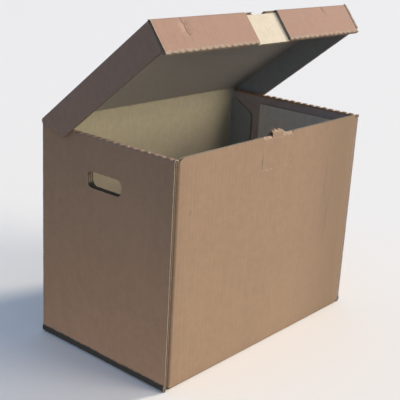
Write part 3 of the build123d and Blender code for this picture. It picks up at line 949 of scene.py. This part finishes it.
def strip(name, bodies, nodes, path, radius, low, high, finish, start, end, lift=None):
    """A strip of liner that rounds a crease from x = low to x = high.

    path is (y, z) along the face that shows, its middle point rounded by radius.  start and end are
    not used.  Brown liner lies outside the bend and cream liner inside it.  lift(x) raises the strip
    towards the path's end.
    """
    first, corner, last = (np.array(p, float) for p in path)
    back, ahead = unit(first - corner), unit(last - corner)
    line = np.array([first, *rounded(corner, back, ahead, radius, steps=10), last])
    run = np.gradient(line, axis=0)
    run /= np.linalg.norm(run, axis=1)[:, None]
    normal = np.column_stack((-run[:, 1], run[:, 0]))
    towards_middle = normal[len(line) // 2] @ (back + ahead) > 0
    if towards_middle != (finish == BROWN):
        normal = -normal
    columns = max(2, round((high - low) / (5 * MM if lift is None else 1 * MM)))
    uneven = np.random.default_rng(len(made) + 1)
    flat, wear_and_painted_light = [], []
    for layer in (0.0, LINER):
        for i, (point, out) in enumerate(zip(line, normal)):
            edge_share = min(i, len(line) - 1 - i) / (len(line) / 2)
            for c in range(columns + 1):
                x = low + (high - low) * c / columns
                rippled = layer == 0 and 0 < i < len(line) - 1
                ripple = min(abs(uneven.normal(0, 0.12 * MM)), 0.3 * MM) if rippled else 0.0
                y, z = point + out * (layer + ripple)
                if lift:
                    z += lift(x) * i / (len(line) - 1)
                flat.append((x, y, z))
                wear_and_painted_light.append(0.75 * edge_share)
    row = columns + 1
    layer_size = row * len(line)
    grid = [
        (i * row + c, i * row + c + 1, (i + 1) * row + c + 1, (i + 1) * row + c)
        for i in range(len(line) - 1) for c in range(columns)
    ]
    rim = free_edges(grid)
    faces = grid + [tuple(i + layer_size for i in reversed(f)) for f in grid]
    faces += [(b, a, a + layer_size, b + layer_size) for a, b in rim]
    kinds = [finish] * len(grid) + [RAW] * (len(grid) + len(rim))
    piece = Piece(name, lambda points: points)
    piece.add(flat, faces, kinds, wear_and_painted_light)
    slot = "cream_liner" if finish == CREAM else "brown_liner"
    return piece.finish((*bodies, start, end), nodes, slot)


# ---------------- lid
def lid_point(y, z):
    """(y, z) in the world of a point given in the lid's own frame."""
    return tuple(to_world(np.array((0.0, y, z)), lid=True)[1:])


def lid_crease():
    low, high = body_box("lid_crease")
    y, z = hinge_point[1], hinge_point[2]
    foot = wall_height - BOARD
    lid_end = lid_point(-5.0 * MM, -0.1 * MM)
    strip(
        "lid_crease_outer_liner", ("body", "lid"), ("lid_crease",),
        [(y - 0.1 * MM, foot), (y - 0.1 * MM, z), lid_end],
        3.2 * MM, -half_width - 0.4 * MM, half_width + 2 * MM, BROWN,
        (0, y, z - 3.5 * MM), (0, *lid_point(-3.5 * MM, 0)),
    )
    inner_y = y - BOARD
    corner_along = -BOARD * math.tan((math.pi / 2 - open_angle) / 2)
    under = lid_point(-7 * MM, -BOARD + 0.1 * MM)
    corner_y, corner_z = lid_point(0, -BOARD)
    share = (inner_y - corner_y) / (under[0] - corner_y)
    corner = (inner_y, corner_z + share * (under[1] - corner_z))
    strip(
        "lid_crease_inner_liner", ("body", "lid"), (),
        [(inner_y + 0.1 * MM, foot), corner, under],
        1.2 * MM, low[0], high[0], CREAM,
        (0, inner_y, corner[1] - 2.2 * MM), (0, *lid_point(corner_along - 4 * MM, -BOARD)),
    )


def lid_top():
    low, high = lid_box("lid_top_panel")
    rear = -4.2 * MM
    left, right, slant, depth = -15.5 * MM, 13.5 * MM, 4 * MM, 20 * MM
    face = lid_box("lid_front_flange_left")[0][1]
    notch = face + depth
    board = Board(
        (0, 0, -BOARD), RIGHT, BACK, lid=True,
        bow=slack(1.2 * MM, high[0], low[1], rear),
    )
    corners = [
        (low[0], low[1]), (left, low[1]), (left, notch, 1 * MM), (right, notch, 1 * MM),
        (right, face + depth / 2), (right - slant * 0.6, low[1]), (high[0], low[1]),
        (high[0], rear), (low[0], rear),
    ]
    board.make("lid_top_board", "lid", "lid_top_panel", "brown_liner", corners)


def lid_sides():
    for side, name in SIDES:
        low, high = lid_box(f"lid_{name}_flange")
        inner_x = min(abs(low[0]), abs(high[0]))
        # The flanges take darker copies of the liners: painted shade outside and painted deep shade
        # inside.
        board = Board(
            (side * inner_x, 0, 0), (0, side, 0), UP, folds=((1, -BOARD, 1),), lid=True,
            tones=("brown_liner_flange_painted_shade", "cream_liner_flange_painted_deep_shade"),
        )
        rim = -BOARD + FOLD_LENGTH
        front = low[1] * side
        gap_closing = 1.8 * MM if name == "left" else 0.0
        heel = -0.8 * MM if name == "left" else 2.8 * MM
        corners = [
            (front - 0.7 * gap_closing * side, low[2], 1.5 * MM), (-31 * MM * side, low[2], 7 * MM),
            (-23 * MM * side, -38 * MM, 3 * MM), (-20.5 * MM * side, -28.7 * MM, 3 * MM),
            (heel * side, -6 * MM), ((heel - 1 * MM) * side, -BOARD), ((heel - 2.6 * MM) * side, rim),
            (front - gap_closing * side, rim),
        ]
        board.make(
            f"lid_{name}_flange_board", "lid", f"lid_{name}_flange", "brown_liner", corners, along=0,
            crushed=side > 0,
            scuffs=[(-5 * MM * side, -1 * MM, 9 * MM), (-12 * MM * side, 1 * MM, 6 * MM)],
        )


def wiggle(v):
    return 0.7 * MM * np.sin(v / (2.6 * MM)) + 0.4 * MM * np.sin(v / (1.1 * MM))


def pressed_line(x, length, lean, depth, width):
    """A crushed line in the outer liner, from x on the lid's front fold down to length below its top."""
    def dent(u, v):
        off = np.abs(u - x - lean * (v + BOARD) - wiggle(v))
        return depth * np.clip(1 - off / width, 0, 1) * np.clip((v + length) / (4 * MM), 0, 1)
    return dent


def lid_front():
    flange_left, flange_right = (lid_box(f"lid_front_flange_{name}") for name in ("left", "right"))
    rim = -BOARD + FOLD_LENGTH
    width = 0.8 * MM
    for name, (low, high), x, length, lean in (
        ("left", flange_left, -171 * MM, 31 * MM, -0.06),
        ("right", flange_right, 150 * MM, 14 * MM, 0.02),
    ):
        board = Board(
            (0, flange_left[1][1], 0), RIGHT, UP, folds=((1, -BOARD, 1),), lid=True,
            dent=pressed_line(x, length, lean, 0.6 * MM, width),
        )
        end = high[0] - (2.5 * MM if name == "right" else 0.0)
        corners = rectangle(low[0], end, low[2], rim)
        heights = np.linspace(-length - 1 * MM, rim - 1.2 * MM, 30)
        lines = [
            [(x + shift + lean * (v + BOARD) + wiggle(v), v) for v in heights]
            for shift in (-width, 0.0, width)
        ]
        board.make(
            f"lid_front_board_{name}", "lid", f"lid_front_flange_{name}", "brown_liner", corners,
            lines=lines, cut_depth=7 * MM,
        )
    low, high = lid_box("lid_front_inner")
    # The lining's cream face takes the copy of the cream liner with painted sunlight.
    inner = Board(
        (0, low[1], 0), (-1, 0, 0), UP, thickness=high[1] - low[1], lid=True,
        tones=("brown_liner_lid_painted_skylight", "cream_liner_front_painted_light"),
    )
    hem_top = lid_box("lid_front_hem_left")[1][2] + 0.1 * MM
    gap = 0.1 * MM
    left, right = -(flange_left[1][0] + gap), -(flange_right[0][0] - gap)
    corners = [
        (-high[0], high[2]), (-high[0], hem_top), (right, hem_top), (right, low[2], 1 * MM),
        (left, low[2], 1 * MM), (left, hem_top), (-low[0], hem_top), (-low[0], high[2]),
    ]
    inner.make("lid_front_lining_board", "lid", "lid_front_inner", "cream_liner", corners)
    for name in ("left", "right"):
        low, high = lid_box(f"lid_{name}_corner_tab")
        tab = Board((0, high[1], 0), RIGHT, UP, thickness=high[1] - low[1], lid=True)
        tab.make(
            f"lid_{name}_corner_board", "lid", f"lid_{name}_corner_tab", "brown_liner",
            rectangle(low[0], high[0], low[2], high[2], 1 * MM), along=0,
        )


# ---------------- floor, light and camera
def plain_floor():
    reach = 9.0
    work = bmesh.new()
    places = ((-reach, -reach, 0), (reach, -reach, 0), (reach, reach, 0), (-reach, reach, 0))
    work.faces.new([work.verts.new(place) for place in places])
    mesh = bpy.data.meshes.new("floor")
    work.to_mesh(mesh)
    work.free()
    floor = bpy.data.objects.new("floor", mesh)
    bpy.context.scene.collection.objects.link(floor)
    g = Graph(bpy.data.materials.new("floor"))
    g.shader.inputs["Base Color"].default_value = (0.93, 0.85, 0.73, 1)
    g.shader.inputs["Roughness"].default_value = 0.9
    mesh.materials.append(g.owner)
    floor.visible_diffuse = False     # the pale floor is seen, but it throws no light up at the box
    floor.visible_shadow = False      # and it lets the light of the low card through


def light(name, kind, place, energy, colour, aim=(0, 0, 0), **settings):
    data = bpy.data.lights.new(name, kind)
    data.energy = energy
    data.color = colour
    for key, value in settings.items():
        setattr(data, key, value)
    lamp = bpy.data.objects.new(name, data)
    lamp.location = place
    lamp.rotation_mode = "QUATERNION"
    lamp.rotation_quaternion = (Vector(place) - Vector(aim)).to_track_quat("Z", "Y")
    bpy.context.scene.collection.objects.link(lamp)
    return lamp


def lights():
    light("key", "SUN", (1.10, -0.40, 0.56), 2.8, (1.0, 0.95, 0.87), angle=math.radians(10))
    light("front_fill", "SUN", (0.42, -0.82, 0.38), 1.8, (1.0, 0.93, 0.84), angle=math.radians(36))
    card = light(
        "low_card", "AREA", (-0.90, -0.22, -0.12), 0.33, (1.0, 0.80, 0.68), aim=(-0.22, -0.05, -0.09),
        shape="RECTANGLE", size=0.5, size_y=0.2, spread=math.radians(76),
    )
    card.visible_camera = False


def studio():
    """Soft fill from the world, bluer from above.  The camera sees a plain pale backdrop instead."""
    g = Graph(bpy.data.worlds.new("studio"))
    bpy.context.scene.world = g.owner
    up = g.split(g.node("ShaderNodeTexCoord").outputs["Generated"])[2]
    rise = g.node("ShaderNodeMapRange", {"Value": up, "From Min": -0.1, "From Max": 0.1})
    fill = g.tree.nodes["Background"]
    g.put(fill.inputs["Color"], g.mix(rise.outputs[0], (0.20, 0.20, 0.21), (0.31, 0.42, 0.64)))
    backdrop = g.node("ShaderNodeBackground", {"Color": (0.9, 0.9, 0.9, 1)})
    seen = g.node("ShaderNodeLightPath").outputs["Is Camera Ray"]
    either = g.node("ShaderNodeMixShader", {0: seen, 1: fill.outputs[0], 2: backdrop.outputs[0]})
    g.put(g.tree.nodes["World Output"].inputs[0], either.outputs[0])


def camera():
    azimuth, elevation, roll = math.radians(-49.85), math.radians(18.2), math.radians(3.22)
    target, away = Vector((-0.0142, 0.0, 0.2029)), 1.367
    back = Vector((
        math.sin(azimuth) * math.cos(elevation),
        -math.cos(azimuth) * math.cos(elevation),
        math.sin(elevation),
    ))
    level = Vector((0, 0, 1)).cross(back).normalized()
    upright = back.cross(level)
    right = math.cos(roll) * level + math.sin(roll) * upright
    up = back.cross(right)
    data = bpy.data.cameras.new("camera")
    data.sensor_width = 36
    data.lens = 78.48
    data.clip_start = 0.05
    eye = bpy.data.objects.new("camera", data)
    bpy.context.scene.collection.objects.link(eye)
    turn = Matrix((right, up, back)).transposed().to_4x4()
    eye.matrix_world = Matrix.Translation(target + back * away) @ turn
    bpy.context.scene.camera = eye


camera()
lights()
studio()
plain_floor()
walls()
end_tabs()
ends()
base()
hems()
lock()
lid_crease()
lid_top()
lid_sides()
lid_front()

bpy.context.scene.view_settings.view_transform = "Standard"
